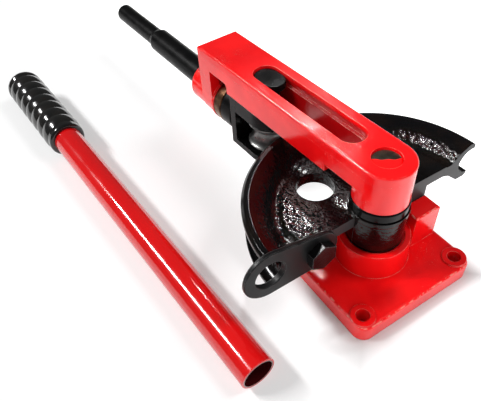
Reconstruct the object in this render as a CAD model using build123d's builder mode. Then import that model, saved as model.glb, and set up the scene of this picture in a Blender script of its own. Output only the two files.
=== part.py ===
"""A bench-mounted manual tube bender: a cast base with a pivot pin, a half-round
bending die with a hook link, a swing arm with a follower roller pressed in by a
screw, and a loose tubular handle with a moulded grip.

Millimetres, +Z up.  The origin is on the axis of the pivot pin at the underside of
the base.  +Y points from the pin along the stored arm, and +X towards the stop block.
"""

import os
from math import asin, cos, radians, sin, sqrt

from build123d import *

# Channel of the die, cut for a tube 25.4 mm across
GROOVE_RADIUS = 13.0
BEND_RADIUS = 108.6

# Pivot stack, measured up from the bench
PIN_RADIUS = 12.0
RUNNING_CLEARANCE = 0.06
BODY_GAP = 0.3
PLATE_TOP = 16.0
RISER_TOP = 41.0
RISER_POCKET_FLOOR = 39.9
HUB_BOTTOM = RISER_POCKET_FLOOR + BODY_GAP
WEB_BOTTOM = 60.5
WEB_TOP = 72.0
HUB_TOP = 75.3
BOSS_BOTTOM = 84.5
ARM_TOP = 123.0
PIN_BOTTOM = 9.0
PIN_TOP = 121.2
PIN_WASHER_RADIUS = 16.0
PIN_WASHER_THICKNESS = 2.5
PIN_SCREW_RADIUS = 5.0
PIN_SCREW_HEAD_RADIUS = 8.0
PIN_SCREW_HEAD_BOTTOM = 1.0
PIN_SCREW_TOP = 32.0
PIN_SCREW_HEX = 8.0
PIN_SCREW_EDGE = 0.6
PIN_EDGE = 1.2
PIN_RECESS_CLEARANCE = 0.5

# Base casting
PLATE_X = 123.4
PLATE_Y = 121.0
PLATE_CORNER = 10.5
PLATE_EDGE_RADIUS = 3.0
BOLT_SPACING_X = 102.4
BOLT_SPACING_Y = 96.0
BOLT_HOLE_RADIUS = 5.75
BOLT_BOSS_RADIUS = 10.4
BOLT_BOSS_TOP = PLATE_TOP + 1.5
RISER_RADIUS = 30.6
RISER_FOOT_RADIUS = 32.5
POCKET_RADIUS = 25.6
BLOCK_TOP = 51.0
BLOCK_X_NEAR = 29.5
BLOCK_X_FAR = 57.2
BLOCK_X_BACK = 38.5
BLOCK_X_NOSE = 30.0
BLOCK_DEPTH = 18.0
BLOCK_EDGE = 1.2

# Bending die
DIE_FACE_Y = 0.5
RIM_RADIUS = 111.2
LOWER_RIM_RADIUS = 109.2
GROOVE_Z = 63.6
RIM_TOP = 82.8
LIP_BOTTOM = 45.6
HUB_RADIUS = 24.4
HUB_FLANGE_RADIUS = 25.0
HUB_FLANGE_BOTTOM = 70.5
SPACER_RING_RADIUS = 24.1
SPACER_RING_TOP = 84.1
SPACER_RING_EDGE = 1.2
LIGHTENING_RADIUS = 16.5
LIGHTENING_X = 28.0
LIGHTENING_Y = 46.6
STOP_LUG_X = 57.5
STOP_LUG_BOTTOM = 42.6
STOP_LUG_DEPTH = 18.0
LIP_CHAMFER = 2.4
LIP_WIDTH = 11.4
SKIRT_REACH = 11.6
SKIRT_DROP = 3.0
WEB_ROOT = 19.0
WEB_BORE_RADIUS = 18.0
DISH_START = 18.0
DISH_DROP = 1.2
RIM_LAND = 6.5
RIM_SHOULDER = 2.4
RIM_SHOULDER_DROP = 0.3
RIM_EDGE_DROP = 3.0

# Hook link and its bolt, which lies along Y in the end face of the die
HOOK_X = -66.8
HOOK_Z = 67.5
HOOK_BOSS_RADIUS = 11.5
HOOK_BOSS_DEPTH = 16.0
HOOK_BOSS_TOP = 75.5
EYE_X = -110.9
EYE_Z = 71.8
EYE_RADIUS = 13.15
EYE_RIM_RADIUS = 23.0
LINK_TAIL_RADIUS = 18.5
LINK_THICKNESS = 5.0
LINK_EDGE = 0.6
LINK_BACK_EDGE = 2.0
HOOK_WASHER_THICKNESS = 3.0
HOOK_BOLT_RADIUS = 6.0
HOOK_BOLT_ENGAGEMENT = 12.0
HOOK_HEAD_WIDTH = 22.0
HOOK_HEAD_HEIGHT = 7.0
LINK_BACK_Y = DIE_FACE_Y - HOOK_WASHER_THICKNESS - BODY_GAP
LINK_FRONT_Y = LINK_BACK_Y - LINK_THICKNESS

# Swing arm, in its own frame: u runs along the arm from the pin
ARM_TURN = 3.0
ARM_HALF_WIDTH = 23.2
ARM_LENGTH = 230.0
BAR_BOTTOM = 93.0
NECK_BOTTOM = 99.6
NECK_LENGTH = 41.5
GAP_START = 181.5
GAP_END = 211.5
GAP_TOP = 103.0
GAP_CORNER = 5.0
ARM_EDGE = 2.2
SLOT_START = 37.5
SLOT_END = 147.5
SLOT_HALF_WIDTH = 12.5
SLOT_THROUGH_HALF_WIDTH = 9.3
SLOT_LEDGE = 114.0

# Pressure screw along the arm, and the parts that it runs through
SCREW_Z = 62.7
SCREW_RADIUS = 13.6
SCREW_TIP_RADIUS = 10.65
SCREW_SHOULDER = 364.0
SCREW_END = 461.0
SPIGOT_RADIUS = 8.0
SPIGOT_START = 165.6
COLLAR_RADIUS = 23.5
COLLAR_START = 179.3
COLLAR_END = 197.2
COLLAR_EDGE = 1.2
NUT_FLANGE_RADIUS = 23.8
NUT_FLANGE_START = 197.5
NUT_FLANGE_END = 209.0
NUT_BODY_RADIUS = 17.5
NUT_BODY_END = 244.0
NUT_EDGE = 1.0
INNER_BOSS_RADIUS = 24.4
OUTER_BOSS_RADIUS = 22.4
OUTER_BOSS_END = 254.0
SCREW_HOLE_RADIUS = 14.2
COLLAR_PIN_RADIUS = 3.0
COLLAR_PIN_HALF_LENGTH = 22.9
COLLAR_PIN_EDGE = 0.5

# Yoke that carries the follower roller
YOKE_HALF_WIDTH = 23.0
YOKE_TOP = 92.4
YOKE_BOTTOM = 37.0
YOKE_FLOOR = 43.5
YOKE_CEILING = 78.0
YOKE_BACK = 179.0
YOKE_BACK_INNER = 170.0
YOKE_EDGE = 1.6
AXLE_U = 143.0
AXLE_RADIUS = 9.0
AXLE_BOTTOM = 32.2
AXLE_HEAD_TOP = 120.6
AXLE_HEAD_RADIUS = 12.2
AXLE_HEAD_LENGTH = 33.0
AXLE_HEAD_EDGE = 1.2
AXLE_TIP_EDGE = 0.8
ROLLER_RADIUS = 22.0
ROLLER_GROOVE_FLOOR = 16.5
ROLLER_HALF_HEIGHT = 12.0
BUSH_RADIUS = 11.5
AXLE_WASHER_THICKNESS = 2.0
SPACER_RADIUS = 13.5
ROLLER_WASHER_RADIUS = 16.0
AXLE_WASHER_RADIUS = 15.0
CLIP_RIM = 2.6
CLIP_THICKNESS = 1.6
CLIP_GROOVE_DEPTH = 0.8

# Handle lying beside the bender, tilted a little because its grip is thicker
HANDLE_X = -146.6
HANDLE_Y = -41.8
HANDLE_TURN = 4.04
HANDLE_RADIUS = 15.25
HANDLE_BORE_RADIUS = 12.9
HANDLE_MOUTH_EDGE = 0.4
BENCH_GAP = 0.05
HANDLE_TUBE_LENGTH = 474.0
GRIP_START = 345.5
GRIP_COLLAR_RADIUS = 19.7
GRIP_LIP = 3.0
GRIP_RADIUS = 20.8
GRIP_VALLEY_RADIUS = 19.4
GRIP_LOBES = 7
GRIP_LOBES_START = 354.4
GRIP_LOBE_PITCH = 16.8
GRIP_SHOULDER_RADIUS = 20.5
GRIP_FLANK_BULGE = 0.2
GRIP_END_ROUND = 7.0
GRIP_END = 483.5

turn = radians(ARM_TURN)
ARM = Plane(origin=(0, 0, 0), x_dir=(cos(turn), sin(turn), 0), z_dir=(0, 0, 1))


def across_arm(u, z=SCREW_Z):
    """A plane square to the arm at distance u from the pin, facing its far end."""
    centre = ARM.from_local_coords((0, u, z))
    return Plane(origin=centre, x_dir=-ARM.x_dir, z_dir=ARM.y_dir)


def along_arm():
    """The arm's middle plane, with x along the arm and y up."""
    return Plane(origin=(0, 0, 0), x_dir=ARM.y_dir, z_dir=ARM.x_dir)


def axle_plane(z):
    """A level plane at height z whose origin is on the roller's axle."""
    return Plane(origin=ARM.from_local_coords((0, AXLE_U, z)), x_dir=ARM.x_dir, z_dir=(0, 0, 1))


def save(piece, name):
    piece.part.label = name
    export_step(piece.part, f"parts/{name}.step")


def base_casting():
    with BuildPart() as base:
        with BuildSketch():
            RectangleRounded(PLATE_X, PLATE_Y, PLATE_CORNER)
        extrude(amount=PLATE_TOP)
        fillet(base.faces().sort_by(Axis.Z)[-1].edges(), PLATE_EDGE_RADIUS)
        with BuildSketch():
            with GridLocations(BOLT_SPACING_X, BOLT_SPACING_Y, 2, 2):
                Circle(BOLT_BOSS_RADIUS)
        extrude(amount=BOLT_BOSS_TOP)
        with BuildSketch(Plane.XY.offset(PLATE_TOP - 1)):
            Circle(RISER_FOOT_RADIUS)
        with BuildSketch(Plane.XY.offset(RISER_TOP)):
            Circle(RISER_RADIUS)
        loft()
        with BuildSketch(Plane.XY.offset(PLATE_TOP - 1)):
            with BuildLine():
                Polyline(
                    (BLOCK_X_NEAR, -BLOCK_DEPTH),
                    (BLOCK_X_FAR, -BLOCK_DEPTH),
                    (BLOCK_X_FAR, 0),
                    (BLOCK_X_BACK, 0),
                    (BLOCK_X_NOSE, -BLOCK_DEPTH / 2),
                    close=True,
                )
            make_face()
        extrude(amount=BLOCK_TOP - PLATE_TOP + 1)
        chamfer(base.faces().sort_by(Axis.Z)[-1].edges(), BLOCK_EDGE)
        with BuildSketch(Plane.XY.offset(RISER_POCKET_FLOOR)):
            Circle(POCKET_RADIUS)
        extrude(amount=BLOCK_TOP, mode=Mode.SUBTRACT)
        with BuildSketch():
            Circle(PIN_RADIUS)
            with GridLocations(BOLT_SPACING_X, BOLT_SPACING_Y, 2, 2):
                Circle(BOLT_HOLE_RADIUS)
        extrude(amount=BLOCK_TOP, mode=Mode.SUBTRACT)
        with BuildSketch():
            Circle(PIN_WASHER_RADIUS + PIN_RECESS_CLEARANCE)
        extrude(amount=PIN_BOTTOM, mode=Mode.SUBTRACT)
    return base


def pivot_pin():
    with BuildPart() as pin:
        with BuildSketch(Plane.XY.offset(PIN_BOTTOM)):
            Circle(PIN_RADIUS)
            Circle(PIN_SCREW_RADIUS, mode=Mode.SUBTRACT)
        extrude(amount=PIN_SCREW_TOP - PIN_BOTTOM)
        with BuildSketch(Plane.XY.offset(PIN_SCREW_TOP)):
            Circle(PIN_RADIUS)
        extrude(amount=PIN_TOP - PIN_SCREW_TOP)
        chamfer(pin.edges().sort_by(Axis.Z)[-1], PIN_EDGE)
    return pin


def pin_washer():
    with BuildPart() as washer:
        with BuildSketch(Plane.XY.offset(PIN_BOTTOM - PIN_WASHER_THICKNESS)):
            Circle(PIN_WASHER_RADIUS)
            Circle(PIN_SCREW_RADIUS, mode=Mode.SUBTRACT)
        extrude(amount=PIN_WASHER_THICKNESS)
    return washer


def pin_screw():
    head_height = PIN_BOTTOM - PIN_WASHER_THICKNESS - PIN_SCREW_HEAD_BOTTOM
    with BuildPart() as screw:
        with BuildSketch(Plane.XY.offset(PIN_SCREW_HEAD_BOTTOM)):
            Circle(PIN_SCREW_HEAD_RADIUS)
        extrude(amount=head_height)
        chamfer(screw.edges().sort_by(Axis.Z)[0], PIN_SCREW_EDGE)
        with BuildSketch(Plane.XY.offset(PIN_SCREW_HEAD_BOTTOM)):
            Circle(PIN_SCREW_RADIUS)
        extrude(amount=PIN_SCREW_TOP - PIN_SCREW_HEAD_BOTTOM)
        with BuildSketch(Plane.XY.offset(PIN_SCREW_HEAD_BOTTOM)):
            RegularPolygon(PIN_SCREW_HEX / 2, 6, major_radius=False)
        extrude(amount=head_height * 0.6, mode=Mode.SUBTRACT)
    return screw


def die_section():
    """Half section of the die's web and channel, x as radius and y as height."""
    upper_reach = sqrt(GROOVE_RADIUS**2 - (RIM_RADIUS - BEND_RADIUS) ** 2)
    lower_reach = sqrt(GROOVE_RADIUS**2 - (LOWER_RIM_RADIUS - BEND_RADIUS) ** 2)
    groove_floor = BEND_RADIUS - GROOVE_RADIUS
    with BuildLine() as outline:
        Polyline(
            (LOWER_RIM_RADIUS, GROOVE_Z - lower_reach),
            (LOWER_RIM_RADIUS, LIP_BOTTOM + LIP_CHAMFER),
            (LOWER_RIM_RADIUS - LIP_CHAMFER, LIP_BOTTOM),
            (groove_floor + GROOVE_RADIUS - LIP_WIDTH, LIP_BOTTOM),
            (groove_floor - SKIRT_REACH, WEB_BOTTOM - SKIRT_DROP),
            (groove_floor - WEB_ROOT, WEB_BOTTOM),
            (WEB_BORE_RADIUS, WEB_BOTTOM),
            (WEB_BORE_RADIUS, WEB_TOP),
            (groove_floor - DISH_START, WEB_TOP - DISH_DROP),
        )
        Spline(
            (groove_floor - DISH_START, WEB_TOP - DISH_DROP),
            (groove_floor - 8.5, WEB_TOP - 0.6),
            (groove_floor - 3.2, WEB_TOP + 4.6),
            (groove_floor + 3.5, RIM_TOP - 2.6),
            (RIM_RADIUS - RIM_LAND, RIM_TOP),
        )
        Polyline(
            (RIM_RADIUS - RIM_LAND, RIM_TOP),
            (RIM_RADIUS - RIM_SHOULDER, RIM_TOP - RIM_SHOULDER_DROP),
            (RIM_RADIUS, RIM_TOP - RIM_EDGE_DROP),
            (RIM_RADIUS, GROOVE_Z + upper_reach),
        )
        ThreePointArc(
            (RIM_RADIUS, GROOVE_Z + upper_reach),
            (groove_floor, GROOVE_Z),
            (LOWER_RIM_RADIUS, GROOVE_Z - lower_reach),
        )
    return outline


def die_body():
    section = die_section()
    with BuildPart() as die:
        with BuildSketch(Plane.XZ):
            add(section.line)
            make_face()
        revolve(axis=Axis.Z)
        with BuildSketch(Plane.XY.offset(STOP_LUG_BOTTOM)):
            with Locations((STOP_LUG_X / 2, DIE_FACE_Y + STOP_LUG_DEPTH / 2)):
                Rectangle(STOP_LUG_X, STOP_LUG_DEPTH)
        extrude(amount=WEB_BOTTOM - STOP_LUG_BOTTOM + 1)
        with BuildSketch(Plane.XZ.offset(-DIE_FACE_Y)):
            with Locations((HOOK_X, HOOK_Z)):
                Circle(HOOK_BOSS_RADIUS)
            with Locations((HOOK_X, HOOK_BOSS_TOP)):
                Rectangle(
                    2 * HOOK_BOSS_RADIUS,
                    HOOK_BOSS_RADIUS,
                    align=(Align.CENTER, Align.MIN),
                    mode=Mode.SUBTRACT,
                )
        extrude(amount=-HOOK_BOSS_DEPTH)
        split(bisect_by=Plane.XZ.offset(-DIE_FACE_Y), keep=Keep.BOTTOM)
        with BuildSketch(Plane.XY.offset(HUB_BOTTOM)):
            Circle(HUB_RADIUS)
        extrude(amount=HUB_TOP - HUB_BOTTOM - 1)
        with BuildSketch(Plane.XY.offset(HUB_FLANGE_BOTTOM)):
            Circle(HUB_FLANGE_RADIUS)
        extrude(amount=HUB_TOP - HUB_FLANGE_BOTTOM)
        with BuildSketch(Plane.XY.offset(HUB_BOTTOM)):
            Circle(PIN_RADIUS + RUNNING_CLEARANCE)
            with Locations((LIGHTENING_X, LIGHTENING_Y), (-LIGHTENING_X, LIGHTENING_Y)):
                Circle(LIGHTENING_RADIUS)
        extrude(amount=HUB_TOP, mode=Mode.SUBTRACT)
        with BuildSketch(Plane.XZ.offset(-DIE_FACE_Y)):
            with Locations((HOOK_X, HOOK_Z)):
                Circle(HOOK_BOLT_RADIUS)
        extrude(amount=-HOOK_BOLT_ENGAGEMENT, mode=Mode.SUBTRACT)
    return die


def hook_washer():
    with BuildPart() as washer:
        with BuildSketch(Plane.XZ.offset(-DIE_FACE_Y)):
            with Locations((HOOK_X, HOOK_Z)):
                Circle(HOOK_BOSS_RADIUS)
                Circle(HOOK_BOLT_RADIUS, mode=Mode.SUBTRACT)
        extrude(amount=HOOK_WASHER_THICKNESS)
    return washer


def hook_bolt():
    head_back = LINK_FRONT_Y - BODY_GAP
    with BuildPart() as bolt:
        with BuildSketch(Plane.XZ.offset(-head_back)):
            with Locations((HOOK_X, HOOK_Z)):
                RegularPolygon(HOOK_HEAD_WIDTH / 2, 6, major_radius=False, rotation=30)
        extrude(amount=HOOK_HEAD_HEIGHT)
        with BuildSketch(Plane.XZ.offset(-head_back)):
            with Locations((HOOK_X, HOOK_Z)):
                Circle(HOOK_BOLT_RADIUS)
        extrude(amount=-(HOOK_BOLT_ENGAGEMENT - head_back + DIE_FACE_Y))
    return bolt


def hook_link():
    with BuildPart() as link:
        with BuildSketch(Plane.XZ.offset(-LINK_BACK_Y)):
            with BuildSketch(mode=Mode.PRIVATE) as ends:
                with Locations((HOOK_X, HOOK_Z)):
                    Circle(LINK_TAIL_RADIUS)
                with Locations((EYE_X, EYE_Z)):
                    Circle(EYE_RIM_RADIUS)
            make_hull(ends.sketch.edges())
            with Locations((HOOK_X, HOOK_Z)):
                Circle(HOOK_BOLT_RADIUS + RUNNING_CLEARANCE, mode=Mode.SUBTRACT)
            with Locations((EYE_X, EYE_Z)):
                Circle(EYE_RADIUS, mode=Mode.SUBTRACT)
        extrude(amount=LINK_THICKNESS)
        front, back = link.faces().filter_by(Axis.Y).sort_by(Axis.Y)
        chamfer(back.outer_wire().edges(), LINK_BACK_EDGE)
        chamfer(front.edges(), LINK_EDGE)
    return link


def spacer_ring():
    with BuildPart() as ring:
        with BuildSketch(Plane.XY.offset(HUB_TOP)):
            Circle(SPACER_RING_RADIUS)
            Circle(PIN_RADIUS + RUNNING_CLEARANCE, mode=Mode.SUBTRACT)
        extrude(amount=SPACER_RING_TOP - HUB_TOP)
        outer = ring.edges().filter_by(GeomType.CIRCLE).sort_by(SortBy.RADIUS)[-2:]
        fillet(outer, SPACER_RING_EDGE)
    return ring


def arm_side_profile():
    """Outline of the bar, the screw gap and the lug, x along the arm and y up."""
    with BuildLine() as outline:
        Polyline(
            (GAP_START, GAP_TOP - GAP_CORNER),
            (GAP_START, BAR_BOTTOM),
            (NECK_LENGTH, BAR_BOTTOM),
            (NECK_LENGTH, NECK_BOTTOM),
            (0, NECK_BOTTOM),
            (0, ARM_TOP),
            (ARM_LENGTH, ARM_TOP),
            (ARM_LENGTH, SCREW_Z),
            (GAP_END, SCREW_Z),
            (GAP_END, GAP_TOP),
            (GAP_START + GAP_CORNER, GAP_TOP),
        )
        corner_end = (GAP_START, GAP_TOP - GAP_CORNER)
        RadiusArc((GAP_START + GAP_CORNER, GAP_TOP), corner_end, -GAP_CORNER)
    return outline


def arm_casting():
    profile = arm_side_profile()
    with BuildPart() as arm:
        with BuildSketch(along_arm()):
            add(profile.line)
            make_face()
        extrude(amount=ARM_HALF_WIDTH, both=True)
        with BuildSketch(ARM.offset(BOSS_BOTTOM)):
            Circle(ARM_HALF_WIDTH)
        extrude(amount=ARM_TOP - BOSS_BOTTOM)
        with BuildSketch(across_arm(GAP_END)):
            Circle(ARM_HALF_WIDTH)
        extrude(amount=ARM_LENGTH - GAP_END)
        fillet(arm.faces().sort_by(Axis.Z)[-1].edges(), ARM_EDGE)
        with BuildSketch(across_arm(ARM_LENGTH - 1)):
            Circle(OUTER_BOSS_RADIUS)
        extrude(amount=OUTER_BOSS_END - ARM_LENGTH + 1)
        with BuildSketch(across_arm(NUT_FLANGE_END)):
            Circle(INNER_BOSS_RADIUS)
        extrude(amount=GAP_END - NUT_FLANGE_END + 1)
        with BuildSketch(ARM.offset(ARM_TOP)):
            with Locations((0, (SLOT_START + SLOT_END) / 2)):
                SlotCenterToCenter(SLOT_END - SLOT_START, 2 * SLOT_HALF_WIDTH, rotation=90)
        extrude(amount=SLOT_LEDGE - ARM_TOP, mode=Mode.SUBTRACT)
        with BuildSketch(ARM.offset(ARM_TOP)):
            with Locations((0, (SLOT_START + SLOT_END) / 2)):
                SlotCenterToCenter(SLOT_END - SLOT_START, 2 * SLOT_THROUGH_HALF_WIDTH, rotation=90)
            Circle(PIN_RADIUS + RUNNING_CLEARANCE)
        extrude(amount=-(ARM_TOP - BOSS_BOTTOM), mode=Mode.SUBTRACT)
        with BuildSketch(across_arm(NUT_FLANGE_END)):
            Circle(NUT_BODY_RADIUS)
        extrude(amount=NUT_BODY_END - NUT_FLANGE_END, mode=Mode.SUBTRACT)
        with BuildSketch(across_arm(NUT_BODY_END)):
            Circle(SCREW_HOLE_RADIUS)
        extrude(amount=OUTER_BOSS_END - NUT_BODY_END, mode=Mode.SUBTRACT)
    return arm


def screw_nut():
    with BuildPart() as nut:
        with BuildSketch(across_arm(NUT_FLANGE_START)):
            Circle(NUT_FLANGE_RADIUS)
        extrude(amount=NUT_FLANGE_END - NUT_FLANGE_START)
        with BuildSketch(across_arm(NUT_FLANGE_START)):
            Circle(NUT_BODY_RADIUS)
        extrude(amount=NUT_BODY_END - NUT_FLANGE_START)
        with BuildSketch(across_arm(NUT_FLANGE_START)):
            Circle(SCREW_RADIUS + RUNNING_CLEARANCE)
        extrude(amount=NUT_BODY_END - NUT_FLANGE_START, mode=Mode.SUBTRACT)
        rims = nut.edges().filter_by(GeomType.CIRCLE).sort_by(SortBy.RADIUS)[-2:]
        fillet(rims, NUT_EDGE)
    return nut


def screw_section():
    """Half section of the screw, x as radius and y along the screw."""
    clip_start = YOKE_BACK_INNER - BODY_GAP - CLIP_THICKNESS
    clip_end = clip_start + CLIP_THICKNESS
    groove = SPIGOT_RADIUS - CLIP_GROOVE_DEPTH
    taper_length = 8.0
    end_round = 3.0
    with BuildLine() as outline:
        Polyline(
            (0, SCREW_END),
            (0, SPIGOT_START),
            (SPIGOT_RADIUS - 1, SPIGOT_START),
            (SPIGOT_RADIUS, SPIGOT_START + 1),
            (SPIGOT_RADIUS, clip_start),
            (groove, clip_start),
            (groove, clip_end),
            (SPIGOT_RADIUS, clip_end),
            (SPIGOT_RADIUS, COLLAR_START),
            (SCREW_RADIUS, COLLAR_START),
            (SCREW_RADIUS, SCREW_SHOULDER),
            (SCREW_TIP_RADIUS, SCREW_SHOULDER + taper_length),
            (SCREW_TIP_RADIUS, SCREW_END - end_round),
        )
        RadiusArc(
            (SCREW_TIP_RADIUS, SCREW_END - end_round),
            (SCREW_TIP_RADIUS - end_round, SCREW_END),
            -end_round,
        )
        Line((SCREW_TIP_RADIUS - end_round, SCREW_END), (0, SCREW_END))
    return outline


def pressure_screw():
    profile = screw_section()
    section_plane = Plane(
        origin=ARM.from_local_coords((0, 0, SCREW_Z)), x_dir=ARM.x_dir, z_dir=(0, 0, 1)
    )
    with BuildPart() as screw:
        with BuildSketch(section_plane):
            add(profile.line)
            make_face()
        revolve(axis=Axis(section_plane.origin, section_plane.y_dir))
        with BuildSketch(ARM.offset(SCREW_Z)):
            with Locations((0, (COLLAR_START + COLLAR_END) / 2)):
                Circle(COLLAR_PIN_RADIUS)
        extrude(amount=COLLAR_RADIUS, both=True, mode=Mode.SUBTRACT)
    return screw


def screw_collar():
    with BuildPart() as collar:
        with BuildSketch(across_arm(COLLAR_START)):
            Circle(COLLAR_RADIUS)
        extrude(amount=COLLAR_END - COLLAR_START)
        fillet(collar.edges().filter_by(GeomType.CIRCLE), COLLAR_EDGE)
        with BuildSketch(across_arm(COLLAR_START)):
            Circle(SCREW_RADIUS)
        extrude(amount=COLLAR_END - COLLAR_START, mode=Mode.SUBTRACT)
        with BuildSketch(ARM.offset(SCREW_Z)):
            with Locations((0, (COLLAR_START + COLLAR_END) / 2)):
                Circle(COLLAR_PIN_RADIUS)
        extrude(amount=COLLAR_RADIUS, both=True, mode=Mode.SUBTRACT)
    return collar


def collar_pin():
    with BuildPart() as pin:
        with BuildSketch(ARM.offset(SCREW_Z)):
            with Locations((0, (COLLAR_START + COLLAR_END) / 2)):
                Circle(COLLAR_PIN_RADIUS)
        extrude(amount=COLLAR_PIN_HALF_LENGTH, both=True)
        chamfer(pin.edges().filter_by(GeomType.CIRCLE), COLLAR_PIN_EDGE)
    return pin


def screw_clip():
    with BuildPart() as clip:
        with BuildSketch(across_arm(YOKE_BACK_INNER - BODY_GAP - CLIP_THICKNESS)):
            Circle(SPIGOT_RADIUS + CLIP_RIM)
            Circle(SPIGOT_RADIUS - CLIP_GROOVE_DEPTH, mode=Mode.SUBTRACT)
        extrude(amount=CLIP_THICKNESS)
    return clip


def yoke_bracket():
    with BuildPart() as yoke:
        with BuildSketch(along_arm()):
            with BuildLine():
                Polyline(
                    (AXLE_U - YOKE_HALF_WIDTH, YOKE_TOP),
                    (YOKE_BACK, YOKE_TOP),
                    (YOKE_BACK, YOKE_BOTTOM),
                    (AXLE_U - YOKE_HALF_WIDTH, YOKE_BOTTOM),
                    (AXLE_U - YOKE_HALF_WIDTH, YOKE_FLOOR),
                    (YOKE_BACK_INNER, YOKE_FLOOR),
                    (YOKE_BACK_INNER, YOKE_CEILING),
                    (AXLE_U - YOKE_HALF_WIDTH, YOKE_CEILING),
                    close=True,
                )
            make_face()
        extrude(amount=YOKE_HALF_WIDTH, both=True)
        outer_back = yoke.faces().sort_by(Axis((0, 0, 0), ARM.y_dir))[-1].edges()
        fillet(outer_back, YOKE_EDGE)
        with BuildSketch(axle_plane(YOKE_BOTTOM)):
            Circle(YOKE_HALF_WIDTH)
            with Locations((0, (YOKE_BACK - AXLE_U) / 2)):
                Rectangle(2 * YOKE_HALF_WIDTH, YOKE_BACK - AXLE_U)
        extrude(amount=YOKE_TOP - YOKE_BOTTOM, mode=Mode.INTERSECT)
        with BuildSketch(axle_plane(YOKE_BOTTOM)):
            Circle(AXLE_RADIUS)
        extrude(amount=YOKE_TOP - YOKE_BOTTOM, mode=Mode.SUBTRACT)
        with BuildSketch(across_arm(YOKE_BACK_INNER)):
            Circle(SPIGOT_RADIUS + RUNNING_CLEARANCE)
        extrude(amount=YOKE_BACK - YOKE_BACK_INNER, mode=Mode.SUBTRACT)
    return yoke


def roller_axle():
    clip_top = YOKE_BOTTOM - AXLE_WASHER_THICKNESS
    with BuildPart() as axle:
        with BuildSketch(axle_plane(AXLE_BOTTOM)):
            Circle(AXLE_RADIUS)
        extrude(amount=SLOT_LEDGE + BODY_GAP - AXLE_BOTTOM)
        chamfer(axle.edges().sort_by(Axis.Z)[0], AXLE_TIP_EDGE)
        with BuildSketch(axle_plane(SLOT_LEDGE + BODY_GAP)):
            SlotOverall(AXLE_HEAD_LENGTH, 2 * AXLE_HEAD_RADIUS, rotation=90)
        extrude(amount=AXLE_HEAD_TOP - SLOT_LEDGE - BODY_GAP)
        fillet(axle.faces().sort_by(Axis.Z)[-1].edges(), AXLE_HEAD_EDGE)
        with BuildSketch(axle_plane(clip_top - CLIP_THICKNESS)):
            Circle(AXLE_RADIUS)
            Circle(AXLE_RADIUS - CLIP_GROOVE_DEPTH, mode=Mode.SUBTRACT)
        extrude(amount=CLIP_THICKNESS, mode=Mode.SUBTRACT)
    return axle


def sleeve(bottom, top, outer, inner):
    """A plain ring round the axle, used for the washer, spacer, bush and clip."""
    with BuildPart() as ring:
        with BuildSketch(axle_plane(bottom)):
            Circle(outer)
            Circle(inner, mode=Mode.SUBTRACT)
        extrude(amount=top - bottom)
    return ring


def roller_bush():
    bottom = GROOVE_Z - ROLLER_HALF_HEIGHT
    top = GROOVE_Z + ROLLER_HALF_HEIGHT
    return sleeve(bottom, top, BUSH_RADIUS, AXLE_RADIUS + RUNNING_CLEARANCE)


def axle_spacer():
    top = GROOVE_Z - ROLLER_HALF_HEIGHT - BODY_GAP
    return sleeve(YOKE_FLOOR, top, SPACER_RADIUS, AXLE_RADIUS)


def roller_washer():
    bottom = GROOVE_Z + ROLLER_HALF_HEIGHT + BODY_GAP
    return sleeve(bottom, YOKE_CEILING, ROLLER_WASHER_RADIUS, AXLE_RADIUS)


def axle_washer():
    bottom = YOKE_BOTTOM - AXLE_WASHER_THICKNESS
    return sleeve(bottom, YOKE_BOTTOM, AXLE_WASHER_RADIUS, AXLE_RADIUS)


def axle_clip():
    top = YOKE_BOTTOM - AXLE_WASHER_THICKNESS
    groove_floor = AXLE_RADIUS - CLIP_GROOVE_DEPTH
    return sleeve(top - CLIP_THICKNESS, top, AXLE_RADIUS + CLIP_RIM, groove_floor)


def follower_roller():
    groove_centre = ROLLER_GROOVE_FLOOR + GROOVE_RADIUS
    reach = sqrt(GROOVE_RADIUS**2 - (groove_centre - ROLLER_RADIUS) ** 2)
    low = GROOVE_Z - ROLLER_HALF_HEIGHT
    high = GROOVE_Z + ROLLER_HALF_HEIGHT
    centre = ARM.from_local_coords((0, AXLE_U, 0))
    section_plane = Plane(origin=centre, x_dir=ARM.x_dir, z_dir=-ARM.y_dir)
    with BuildPart() as roller:
        with BuildSketch(section_plane):
            with BuildLine():
                Polyline(
                    (ROLLER_RADIUS, GROOVE_Z + reach),
                    (ROLLER_RADIUS, high),
                    (BUSH_RADIUS, high),
                    (BUSH_RADIUS, low),
                    (ROLLER_RADIUS, low),
                    (ROLLER_RADIUS, GROOVE_Z - reach),
                )
                ThreePointArc(
                    (ROLLER_RADIUS, GROOVE_Z - reach),
                    (ROLLER_GROOVE_FLOOR, GROOVE_Z),
                    (ROLLER_RADIUS, GROOVE_Z + reach),
                )
            make_face()
        revolve(axis=Axis(centre, (0, 0, 1)))
    return roller


def handle_plane():
    """A plane square to the handle at its open end, facing the grip."""
    first_crest = GRIP_LOBES_START + GRIP_LOBE_PITCH / 2
    lift = asin((GRIP_RADIUS - HANDLE_RADIUS) / first_crest)
    heading = radians(HANDLE_TURN)
    towards_grip = (-sin(heading) * cos(lift), cos(heading) * cos(lift), sin(lift))
    return Plane(
        origin=(HANDLE_X, HANDLE_Y, HANDLE_RADIUS + BENCH_GAP),
        x_dir=(cos(heading), sin(heading), 0),
        z_dir=towards_grip,
    )


def handle_tube():
    with BuildPart() as tube:
        with BuildSketch(handle_plane()):
            Circle(HANDLE_RADIUS)
            Circle(HANDLE_BORE_RADIUS, mode=Mode.SUBTRACT)
        extrude(amount=HANDLE_TUBE_LENGTH)
        mouth = tube.edges().group_by(Axis.Y)[0]
        chamfer(mouth, HANDLE_MOUTH_EDGE)
    return tube


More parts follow.
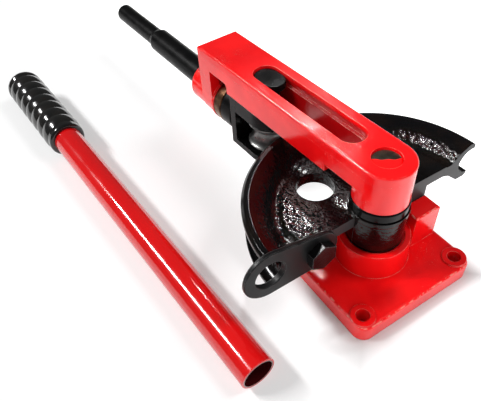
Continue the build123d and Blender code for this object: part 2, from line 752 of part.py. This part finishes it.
def grip_section():
    """Half section of the moulded grip, x as radius and y along the handle."""
    diagonal = sin(radians(45))
    shoulder = GRIP_END - GRIP_END_ROUND
    end_centre = GRIP_SHOULDER_RADIUS - GRIP_END_ROUND
    lip_centre = GRIP_COLLAR_RADIUS - GRIP_LIP
    with BuildLine() as outline:
        Polyline(
            (end_centre, GRIP_END),
            (0, GRIP_END),
            (0, HANDLE_TUBE_LENGTH),
            (HANDLE_RADIUS, HANDLE_TUBE_LENGTH),
            (HANDLE_RADIUS, GRIP_START),
            (lip_centre, GRIP_START),
        )
        ThreePointArc(
            (lip_centre, GRIP_START),
            (lip_centre + GRIP_LIP * diagonal, GRIP_START + GRIP_LIP * (1 - diagonal)),
            (GRIP_COLLAR_RADIUS, GRIP_START + GRIP_LIP),
        )
        previous = (GRIP_VALLEY_RADIUS, GRIP_LOBES_START)
        Line((GRIP_COLLAR_RADIUS, GRIP_START + GRIP_LIP), previous)
        for lobe in range(GRIP_LOBES):
            crest = (GRIP_RADIUS, GRIP_LOBES_START + (lobe + 0.5) * GRIP_LOBE_PITCH)
            valley = (GRIP_VALLEY_RADIUS, GRIP_LOBES_START + (lobe + 1) * GRIP_LOBE_PITCH)
            ThreePointArc(previous, crest, valley)
            previous = valley
        flank = (
            (GRIP_VALLEY_RADIUS + GRIP_SHOULDER_RADIUS) / 2 + GRIP_FLANK_BULGE,
            (previous[1] + shoulder) / 2,
        )
        ThreePointArc(previous, flank, (GRIP_SHOULDER_RADIUS, shoulder))
        ThreePointArc(
            (GRIP_SHOULDER_RADIUS, shoulder),
            (end_centre + GRIP_END_ROUND * diagonal, shoulder + GRIP_END_ROUND * diagonal),
            (end_centre, GRIP_END),
        )
    return outline


def handle_grip():
    profile = grip_section()
    plane = handle_plane()
    section_plane = Plane(origin=plane.origin, x_dir=plane.x_dir, z_dir=-plane.y_dir)
    with BuildPart() as grip:
        with BuildSketch(section_plane):
            add(profile.line)
            make_face()
        revolve(axis=Axis(plane.origin, plane.z_dir))
    return grip


os.makedirs("parts", exist_ok=True)

save(base_casting(), "base_casting")
save(pivot_pin(), "pivot_pin")
save(pin_washer(), "pin_washer")
save(pin_screw(), "pin_screw")
save(die_body(), "die_body")
save(hook_washer(), "hook_washer")
save(hook_bolt(), "hook_bolt")
save(hook_link(), "hook_link")
save(spacer_ring(), "spacer_ring")
save(arm_casting(), "arm_casting")
save(screw_nut(), "screw_nut")
save(pressure_screw(), "pressure_screw")
save(screw_collar(), "screw_collar")
save(collar_pin(), "collar_pin")
save(screw_clip(), "screw_clip")
save(yoke_bracket(), "yoke_bracket")
save(roller_axle(), "roller_axle")
save(follower_roller(), "follower_roller")
save(roller_bush(), "roller_bush")
save(axle_spacer(), "axle_spacer")
save(roller_washer(), "roller_washer")
save(axle_washer(), "axle_washer")
save(axle_clip(), "axle_clip")
save(handle_tube(), "handle_tube")
save(handle_grip(), "handle_grip")
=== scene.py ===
"""Looks, light and camera for the manual tube bender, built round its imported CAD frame.

Metres, +Z up.  The origin is on the axis of the pivot pin at the underside of the base,
+Y runs from the pin along the arm, and +X points to the stop block.
"""

import math

import bpy
from mathutils import Matrix, Vector

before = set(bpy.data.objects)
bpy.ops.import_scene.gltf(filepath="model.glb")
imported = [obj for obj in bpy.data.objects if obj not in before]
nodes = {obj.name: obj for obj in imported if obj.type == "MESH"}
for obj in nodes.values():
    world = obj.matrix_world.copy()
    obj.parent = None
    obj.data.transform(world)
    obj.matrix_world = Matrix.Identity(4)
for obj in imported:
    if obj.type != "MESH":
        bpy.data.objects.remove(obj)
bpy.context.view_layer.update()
MM = 0.001

# The turn of the arm and of the loose handle from the Y axis, and the handle's open end.
ARM_TURN = math.radians(3)
HANDLE_TURN = math.radians(4.04)
HANDLE_X = -146.6 * MM
HANDLE_Y = -41.8 * MM
HANDLE_Z = 15.3 * MM
HANDLE_SLOPE = 0.0153

DIE_FACE_Y = 0.5 * MM
PIN_TOP = 120 * MM


# ---------------------------------------------------------------- material building


class Look:
    """A Principled material and short names for the nodes that feed it."""

    def __init__(self, name):
        self.material = bpy.data.materials.new(name)
        self.material.use_nodes = True
        self.tree = self.material.node_tree
        self.shader = self.tree.nodes["Principled BSDF"]
        self.position = self.node("ShaderNodeTexCoord").outputs["Object"]

    def node(self, kind, **settings):
        made = self.tree.nodes.new(kind)
        for key, value in settings.items():
            setattr(made, key, value)
        return made

    def feed(self, socket, value):
        if isinstance(value, bpy.types.NodeSocket):
            self.tree.links.new(value, socket)
        elif value is not None:
            socket.default_value = value

    def set(self, **values):
        """Plain numbers and colours, straight on the shader's sockets."""
        for key, value in values.items():
            self.shader.inputs[key.replace("_", " ")].default_value = value

    def noise(self, size_mm, detail=2.0, rough=0.5, stretch=None, distortion=0.0):
        """Noise whose blobs are about size_mm across, from 0 to 1."""
        where = self.position
        if stretch:
            mapping = self.node("ShaderNodeMapping")
            self.feed(mapping.inputs["Vector"], where)
            mapping.inputs["Scale"].default_value = stretch
            where = mapping.outputs[0]
        made = self.node("ShaderNodeTexNoise")
        self.feed(made.inputs["Vector"], where)
        made.inputs["Scale"].default_value = 1.0 / (size_mm * MM)
        made.inputs["Detail"].default_value = detail
        made.inputs["Roughness"].default_value = rough
        made.inputs["Distortion"].default_value = distortion
        return made.outputs["Fac"]

    def maths(self, operation, first, second=None):
        made = self.node("ShaderNodeMath", operation=operation)
        for socket, value in zip(made.inputs, (first, second)):
            self.feed(socket, value)
        return made.outputs[0]

    def add(self, first, second):
        return self.maths("ADD", first, second)

    def subtract(self, first, second):
        return self.maths("SUBTRACT", first, second)

    def times(self, first, second):
        return self.maths("MULTIPLY", first, second)

    def gap(self, first, second):
        """How far apart two values are."""
        return self.maths("ABSOLUTE", self.subtract(first, second))

    def length(self, first, second):
        """Length of the vector with these two parts."""
        squares = self.add(self.times(first, first), self.times(second, second))
        return self.maths("SQRT", squares)

    def span(self, value, low, high, out_low=0.0, out_high=1.0):
        """Maps low..high to out_low..out_high, smoothly and clamped."""
        made = self.node("ShaderNodeMapRange", interpolation_type="SMOOTHSTEP")
        self.feed(made.inputs["Value"], value)
        for key, number in (
            ("From Min", low),
            ("From Max", high),
            ("To Min", out_low),
            ("To Max", out_high),
        ):
            made.inputs[key].default_value = number
        return made.outputs["Result"]

    def mix(self, share, first, second):
        made = self.node("ShaderNodeMix", data_type="RGBA")
        self.feed(made.inputs["Factor"], share)
        self.feed(made.inputs[6], first)
        self.feed(made.inputs[7], second)
        return made.outputs[2]

    def blend(self, share, first, second):
        made = self.node("ShaderNodeMix", data_type="FLOAT")
        self.feed(made.inputs[0], share)
        self.feed(made.inputs[2], first)
        self.feed(made.inputs[3], second)
        return made.outputs[0]

    def parts(self):
        """x, y and z of the surface point, in metres."""
        made = self.node("ShaderNodeSeparateXYZ")
        self.feed(made.inputs[0], self.position)
        return made.outputs

    def slope(self):
        """x, y and z of the surface normal in the row frame."""
        made = self.node("ShaderNodeSeparateXYZ")
        coords = self.node("ShaderNodeTexCoord")
        self.feed(made.inputs[0], coords.outputs["Normal"])
        return made.outputs

    def rounded(self, radius_mm):
        """The surface normal, with sharp edges rounded over."""
        made = self.node("ShaderNodeBevel", samples=6)
        made.inputs["Radius"].default_value = radius_mm * MM
        return made.outputs[0]

    def edges(self, radius_mm, low=0.02, high=0.2):
        """1 along the sharp edges of the piece, 0 on its faces."""
        plain = self.node("ShaderNodeNewGeometry").outputs["Normal"]
        dot = self.node("ShaderNodeVectorMath", operation="DOT_PRODUCT")
        self.feed(dot.inputs[0], self.rounded(radius_mm))
        self.feed(dot.inputs[1], plain)
        off = self.subtract(1.0, dot.outputs["Value"])
        return self.span(off, low, high)

    def bump(self, height, strength, depth_mm, under=None):
        made = self.node("ShaderNodeBump")
        self.feed(made.inputs["Height"], height)
        self.feed(made.inputs["Strength"], strength)
        made.inputs["Distance"].default_value = depth_mm * MM
        self.feed(made.inputs["Normal"], under)
        return made.outputs[0]

    def finish(self, colour, roughness, normal):
        self.feed(self.shader.inputs["Base Color"], colour)
        self.feed(self.shader.inputs["Roughness"], roughness)
        self.feed(self.shader.inputs["Normal"], normal)
        return self.material


def shade(red, green, blue):
    return (red, green, blue, 1.0)


# ---------------------------------------------------------------- finishes

RED = shade(1.0, 0.0070, 0.0080)
RED_DEEP = shade(0.86, 0.0035, 0.006)
# Painted shade for the walls inside the arm's slot.
RED_SLOT_SHADE = shade(0.36, 0.0025, 0.004)
# Pale paint colour for worn edges and for painted highlights and glints.
RED_WEAR_AND_HIGHLIGHT = shade(1.0, 0.42, 0.34)
TUBE_RED = shade(0.72, 0.0055, 0.0060)
TUBE_RED_DEEP = shade(0.60, 0.0035, 0.0050)
# Painted shade inside the handle tube's bore.
BORE_SHADE_RED = shade(0.05, 0.003, 0.004)
BLACK = shade(0.0020, 0.0019, 0.0022)
BLACK_WARM = shade(0.0055, 0.0035, 0.0028)
# Grey of the sawn face, also mixed faintly along the die's edges as a painted highlight.
SAWN_GREY_AND_EDGE_HIGHLIGHT = shade(0.034, 0.034, 0.035)
BARE_STEEL = shade(0.30, 0.30, 0.30)

# Upward part of the surface normal halfway round the castings' top fillets, where the painted
# highlight line along them is centred.
FILLET_NORMAL_Z = 0.72


def on_turned_axes(look, east, north, angle):
    """How far right and how far forward a point lies on axes turned by angle."""
    right = look.add(look.times(east, math.cos(angle)), look.times(north, math.sin(angle)))
    forward = look.subtract(
        look.times(north, math.cos(angle)), look.times(east, math.sin(angle))
    )
    return right, forward


def slot_shade_mask(look):
    """1 on the walls inside the arm's long slot, where painted shade darkens the paint."""
    x, y, z = look.parts()
    across = on_turned_axes(look, x, y, ARM_TURN)[0]
    beside = look.span(look.maths("ABSOLUTE", across), 12.55 * MM, 13.0 * MM, 1.0, 0.0)
    below = look.span(z, 117.0 * MM, 121.5 * MM, 1.0, 0.0)
    beyond_pin = look.span(y, 20 * MM, 24 * MM)
    return look.times(look.times(beside, below), beyond_pin)


def cast_paint(name, round_mm, fillet_highlight, ledge_height_mm=None):
    """Thick gloss red over a sand casting: orange peel, rough patches and pale edges.

    A ledge height marks the arm, whose slot has a rough ledge at that height and painted shade
    on its walls.
    """
    look = Look(name)
    broad = look.noise(38, 2)
    peel = look.noise(2.6, 2, 0.55)
    grit = look.noise(1.1, 3, 0.7)
    patch = look.span(look.noise(30, 3, 0.6), 0.56, 0.70)
    colour = look.mix(look.span(broad, 0.35, 0.7), RED, RED_DEEP)
    if ledge_height_mm is not None:
        away = look.gap(look.parts()[2], ledge_height_mm * MM)
        ledge = look.span(away, 0.3 * MM, 0.8 * MM, 1.0, 0.0)
        patch = look.maths("MAXIMUM", patch, ledge)
        # Painted shade: the walls inside the slot are darkened towards a deep red.
        colour = look.mix(slot_shade_mask(look), colour, RED_SLOT_SHADE)
    # Edge lightening along all sharp edges, partly paint wear and partly a painted highlight.
    worn = look.times(look.edges(1.0), look.span(look.noise(7, 3), 0.35, 0.6))
    # Painted highlight: a pale dotted line along the fillets where their normal faces one way,
    # joined into worn.
    tilt = look.gap(look.slope()[2], FILLET_NORMAL_Z)
    fillet = look.times(look.span(tilt, 0.05, 0.22, 1.0, 0.0), fillet_highlight)
    fillet = look.times(fillet, look.span(look.noise(4.5, 3, 0.7), 0.45, 0.58))
    worn = look.maths("MAXIMUM", worn, fillet)
    # Painted glints: pale flecks scattered over the rough patches and the slot's ledge.
    painted_glints = look.times(patch, look.span(grit, 0.60, 0.72))
    # Worn edges and the painted fillet highlight are lightened towards the pale colour.
    colour = look.mix(look.times(worn, 0.55), colour, RED_WEAR_AND_HIGHLIGHT)
    colour = look.mix(look.times(painted_glints, 0.5), colour, RED_WEAR_AND_HIGHLIGHT)
    roughness = look.blend(patch, look.span(peel, 0.3, 0.7, 0.12, 0.20), 0.18)
    normal = look.bump(peel, 0.6, 0.22, look.rounded(round_mm))
    normal = look.bump(grit, look.blend(patch, 0.08, 0.9), 0.7, normal)
    look.set(Coat_Weight=0.3, Coat_Roughness=0.05, Specular_IOR_Level=0.5)
    return look.finish(colour, roughness, normal)


def from_handle(look):
    """Distances to the right of the handle's axis and above it."""
    x, y, z = look.parts()
    east = look.subtract(x, HANDLE_X)
    north = look.subtract(y, HANDLE_Y)
    right, forward = on_turned_axes(look, east, north, HANDLE_TURN)
    above = look.subtract(look.subtract(z, HANDLE_Z), look.times(forward, HANDLE_SLOPE))
    return right, above


def tube_paint():
    """Smooth gloss red on drawn tube, with faint draw lines along it and painted shade in its
    bore.
    """
    look = Look("paint_red_tube")
    broad = look.noise(45, 2, stretch=(1.0, 0.25, 1.0))
    specks = look.span(look.noise(1.4, 2), 0.70, 0.76)
    # Painted shade: the bore is darkened inside the tube's inner radius.
    bore = look.span(look.length(*from_handle(look)), 13.3 * MM, 14.2 * MM, 1.0, 0.0)
    colour = look.mix(look.span(broad, 0.35, 0.7), TUBE_RED, TUBE_RED_DEEP)
    colour = look.mix(bore, colour, BORE_SHADE_RED)
    # The tube's sharp edges are lightened towards the pale colour.
    colour = look.mix(look.times(look.edges(0.5), 0.6), colour, RED_WEAR_AND_HIGHLIGHT)
    lines = look.noise(2.5, 2, stretch=(1.0, 0.03, 1.0))
    normal = look.bump(lines, 0.10, 0.08, look.rounded(0.5))
    normal = look.bump(specks, 0.15, 0.1, normal)
    roughness = look.span(look.noise(18, 3), 0.3, 0.7, 0.09, 0.17)
    look.set(Coat_Weight=0.6, Coat_Roughness=0.04, Specular_IOR_Level=0.5)
    return look.finish(colour, roughness, normal)


def die_paint():
    """Gloss black over a rough casting, smooth on the turned rim and grey on the sawn face."""
    look = Look("paint_black_die")
    x, y, _ = look.parts()
    radius = look.length(x, y)
    inside_rim = look.span(radius, 96 * MM, 102 * MM, 1.0, 0.0)
    outside_hub = look.span(radius, 25 * MM, 29 * MM, 0.22, 1.0)
    face = look.span(look.gap(y, DIE_FACE_Y), 0.05 * MM, 0.25 * MM, 1.0, 0.0)
    rough_cast = look.times(look.times(inside_rim, outside_hub), look.subtract(1.0, face))
    lumps = look.noise(5.5, 1.5, 0.5, distortion=0.3)
    grit = look.noise(2.6, 1, 0.5)
    colour = look.mix(look.span(look.noise(22, 3), 0.4, 0.7), BLACK, BLACK_WARM)
    colour = look.mix(face, colour, SAWN_GREY_AND_EDGE_HIGHLIGHT)
    # Painted highlight: a faint pale line along the die's sharp edges.
    colour = look.mix(look.times(look.edges(0.8), 0.08), colour, SAWN_GREY_AND_EDGE_HIGHLIGHT)
    roughness = look.blend(rough_cast, 0.13, look.span(grit, 0.3, 0.7, 0.06, 0.11))
    roughness = look.blend(face, roughness, 0.42)
    relief = look.blend(rough_cast, 0.02, 1.0)
    normal = look.bump(lumps, relief, 1.15, look.rounded(1.2))
    normal = look.bump(grit, relief, 0.6, normal)
    look.set(Specular_IOR_Level=0.28)
    return look.finish(colour, roughness, normal)


def black_steel(name, tone, roughness_low, roughness_high, worn=0.3, gloss=0.25):
    """Blackened steel: fine turning marks, cloudy sheen and a little bright metal on edges."""
    look = Look(name)
    cloud = look.noise(16, 3)
    fine = look.noise(0.9, 2)
    base = shade(tone, tone, tone * 1.06)
    lifted = shade(tone * 1.7, tone * 1.65, tone * 1.7)
    colour = look.mix(look.span(cloud, 0.35, 0.7), base, lifted)
    edge = look.times(look.edges(0.7), look.span(look.noise(5, 3), 0.3, 0.6))
    colour = look.mix(look.times(edge, worn), colour, BARE_STEEL)
    roughness = look.span(cloud, 0.3, 0.7, roughness_low, roughness_high)
    normal = look.bump(fine, 0.12, 0.12, look.rounded(0.8))
    look.set(Specular_IOR_Level=gloss)
    return look.finish(colour, roughness, normal)


def turned_metal(name, light, dark, roughness):
    """Bright machined metal with turning marks and a patchy film."""
    look = Look(name)
    film = look.noise(9, 3)
    marks = look.noise(0.8, 2)
    colour = look.mix(look.span(film, 0.3, 0.7), light, dark)
    rough = look.span(film, 0.3, 0.7, roughness - 0.06, roughness + 0.08)
    normal = look.bump(marks, 0.12, 0.1, look.rounded(0.5))
    look.set(Metallic=1.0)
    return look.finish(colour, rough, normal)


def pin_steel():
    """The pin's ground steel, with a patch of red paint that ran over its top face."""
    look = Look("steel_pin")
    x, y, z = look.parts()
    film = look.noise(7, 3)
    ground = look.span(film, 0.3, 0.7)
    steel = look.mix(ground, shade(0.34, 0.32, 0.25), shade(0.18, 0.17, 0.13))
    along = look.add(look.times(x, 0.45), look.times(y, 0.9))
    wavy = look.add(along, look.times(look.noise(14, 1), 9 * MM))
    top = look.span(z, PIN_TOP - 0.1 * MM, PIN_TOP + 0.1 * MM)
    painted = look.times(look.span(wavy, 5.2 * MM, 5.8 * MM, 1.0, 0.0), top)
    colour = look.mix(painted, steel, RED)
    look.feed(look.shader.inputs["Metallic"], look.subtract(1.0, painted))
    roughness = look.blend(painted, 0.34, 0.2)
    normal = look.bump(look.noise(0.8, 2), 0.15, 0.08, look.rounded(0.5))
    return look.finish(colour, roughness, normal)


def vinyl():
    """Glossy dipped vinyl of the grip."""
    look = Look("vinyl_black")
    cloud = look.noise(14, 2)
    dark, light = shade(0.006, 0.006, 0.006), shade(0.011, 0.010, 0.009)
    colour = look.mix(look.span(cloud, 0.35, 0.7), dark, light)
    roughness = look.span(look.noise(9, 3), 0.3, 0.7, 0.13, 0.20)
    normal = look.bump(look.noise(4.5, 2), 0.10, 0.12)
    look.set(Coat_Weight=0.35, Coat_Roughness=0.05)
    return look.finish(colour, roughness, normal)


def dress(material, *names):
    """Gives the named nodes this material."""
    for name in names:
        mesh = nodes[name].data
        mesh.materials.clear()
        mesh.materials.append(material)


dress(cast_paint("paint_red_base", 1.8, 1.0), "base_casting")
dress(cast_paint("paint_red_arm", 0.8, 0.12, ledge_height_mm=114.0), "arm_casting")
dress(tube_paint(), "handle_tube")
dress(die_paint(), "die_body")
dress(black_steel("steel_black_gloss", 0.002, 0.08, 0.16, gloss=0.15), "spacer_ring")
dress(
    black_steel("steel_black_yoke", 0.002, 0.18, 0.30, gloss=0.12),
    "yoke_bracket",
    "roller_axle",
)
dress(
    black_steel("steel_black_screw", 0.002, 0.28, 0.40, worn=0.04, gloss=0.12),
    "pressure_screw",
    "screw_collar",
)
dress(black_steel("steel_charcoal_link", 0.006, 0.34, 0.46, worn=0.8, gloss=0.2), "hook_link")
dress(black_steel("steel_black_bolt", 0.003, 0.16, 0.26, worn=0.7), "hook_bolt", "hook_washer")
dress(pin_steel(), "pivot_pin")
dress(
    turned_metal("steel_bright", shade(0.20, 0.20, 0.195), shade(0.09, 0.09, 0.09), 0.30),
    "pin_washer",
    "pin_screw",
    "collar_pin",
    "screw_clip",
    "follower_roller",
    "axle_spacer",
    "roller_washer",
    "axle_washer",
    "axle_clip",
)
dress(
    turned_metal("bronze", shade(0.22, 0.115, 0.06), shade(0.05, 0.025, 0.015), 0.32),
    "screw_nut",
    "roller_bush",
)
dress(vinyl(), "handle_grip")


# ---------------------------------------------------------------- floor, light and camera


def floor():
    """A plain pale floor that glows softly everywhere but under the base."""
    half = 4.0
    mesh = bpy.data.meshes.new("floor")
    corners = [(-half, -half, 0), (half, -half, 0), (half, half, 0), (-half, half, 0)]
    mesh.from_pydata(corners, [], [(0, 1, 2, 3)])
    plane = bpy.data.objects.new("floor", mesh)
    bpy.context.scene.collection.objects.link(plane)
    look = Look("floor_white")
    look.set(Base_Color=shade(0.62, 0.62, 0.62), Roughness=0.9, Specular_IOR_Level=0.1)
    look.set(Emission_Color=shade(1, 1, 1))
    x, y, _ = look.parts()
    reach = look.maths("MAXIMUM", look.maths("ABSOLUTE", x), look.maths("ABSOLUTE", y))
    clear = look.span(reach, 0.055, 0.085)
    # Painted light: the floor's glow rises from -X towards +X, so shadows on the +X side wash
    # out.
    glow = look.span(x, -0.10, 0.06, 0.34, 0.95)
    look.feed(look.shader.inputs["Emission Strength"], look.times(clear, glow))
    mesh.materials.append(look.material)


def lamp(name, place, target, width, length, radiance, along=None, mirrored=True):
    """A flat lamp facing target.

    along is the direction of its long side.  A lamp that isn't mirrored gives only
    diffuse light.
    """
    light = bpy.data.lights.new(name, "AREA")
    light.shape = "RECTANGLE"
    light.size = width
    light.size_y = length
    light.energy = radiance * math.pi * width * length
    shown = bpy.data.objects.new(name, light)
    back = (Vector(place) - Vector(target)).normalized()
    side = Vector(along or (0, 0, 1)).cross(back).normalized()
    up = back.cross(side)
    turned = Matrix((side, up, back)).transposed().to_4x4()
    shown.matrix_world = Matrix.Translation(place) @ turned
    shown.visible_glossy = mirrored
    bpy.context.scene.collection.objects.link(shown)


def accent(name, place, target, spread_deg, radius, radiance):
    """A small spotlight that only reaches the stretch of casting that it is aimed at."""
    light = bpy.data.lights.new(name, "SPOT")
    light.shadow_soft_size = radius
    light.energy = radiance * math.pi * radius**2 * 4 * math.pi
    light.spot_size = math.radians(spread_deg)
    light.spot_blend = 0.6
    shown = bpy.data.objects.new(name, light)
    aim = (Vector(target) - Vector(place)).to_track_quat("-Z", "Y")
    shown.matrix_world = Matrix.Translation(place) @ aim.to_matrix().to_4x4()
    bpy.context.scene.collection.objects.link(shown)


def sky(strength):
    world = bpy.data.worlds.new("studio")
    world.use_nodes = True
    world.node_tree.nodes["Background"].inputs["Color"].default_value = shade(1, 1, 1)
    world.node_tree.nodes["Background"].inputs["Strength"].default_value = strength
    bpy.context.scene.world = world


def camera():
    data = bpy.data.cameras.new("camera")
    data.sensor_width = 36.0
    data.lens = 39.907
    data.shift_x = -0.0105
    data.shift_y = -0.0038
    data.clip_start = 0.01
    right = Vector((0.84088439, -0.53876843, -0.05140069))
    down = Vector((-0.41741438, -0.58515172, -0.69524291))
    forward = Vector((0.34449773, 0.60607429, -0.71693463))
    place = Vector((-236.73, -200.30, 390.02)) * MM
    turned = Matrix((right, -down, -forward)).transposed().to_4x4()
    shown = bpy.data.objects.new("camera", data)
    shown.matrix_world = Matrix.Translation(place) @ turned
    bpy.context.scene.collection.objects.link(shown)
    bpy.context.scene.camera = shown


floor()
sky(0.10)
lamp("overhead", (0.95, -0.45, 1.75), (0, 0.05, 0), 0.6, 0.6, 13.0, mirrored=False)
lamp("window", (-2.25, 2.15, 2.9), (-0.15, 0.15, 0), 0.45, 1.7, 64.0, along=(0, 1, 0))
lamp("fill", (-0.35, -2.2, 0.9), (0, 0.05, 0.05), 1.3, 1.3, 4.5, mirrored=False)
accent("web_accent", (0.338, 0.494, 0.735), (-0.045, 0.032, 0.072), 3.6, 0.035, 560.0)
accent("wall_left_accent", (0.32, 0.56, 0.74), (-0.053, 0.066, 0.073), 3.6, 0.05, 520.0)
accent("wall_right_accent", (-0.47, 0.02, 0.78), (0.086, 0.03, 0.076), 4.5, 0.05, 700.0)
accent("bolt_accent", (-0.49, 0.40, 0.747), (-0.0723, -0.0115, 0.077), 3.4, 0.07, 300.0)
camera()
bpy.context.scene.view_settings.view_transform = "Standard"
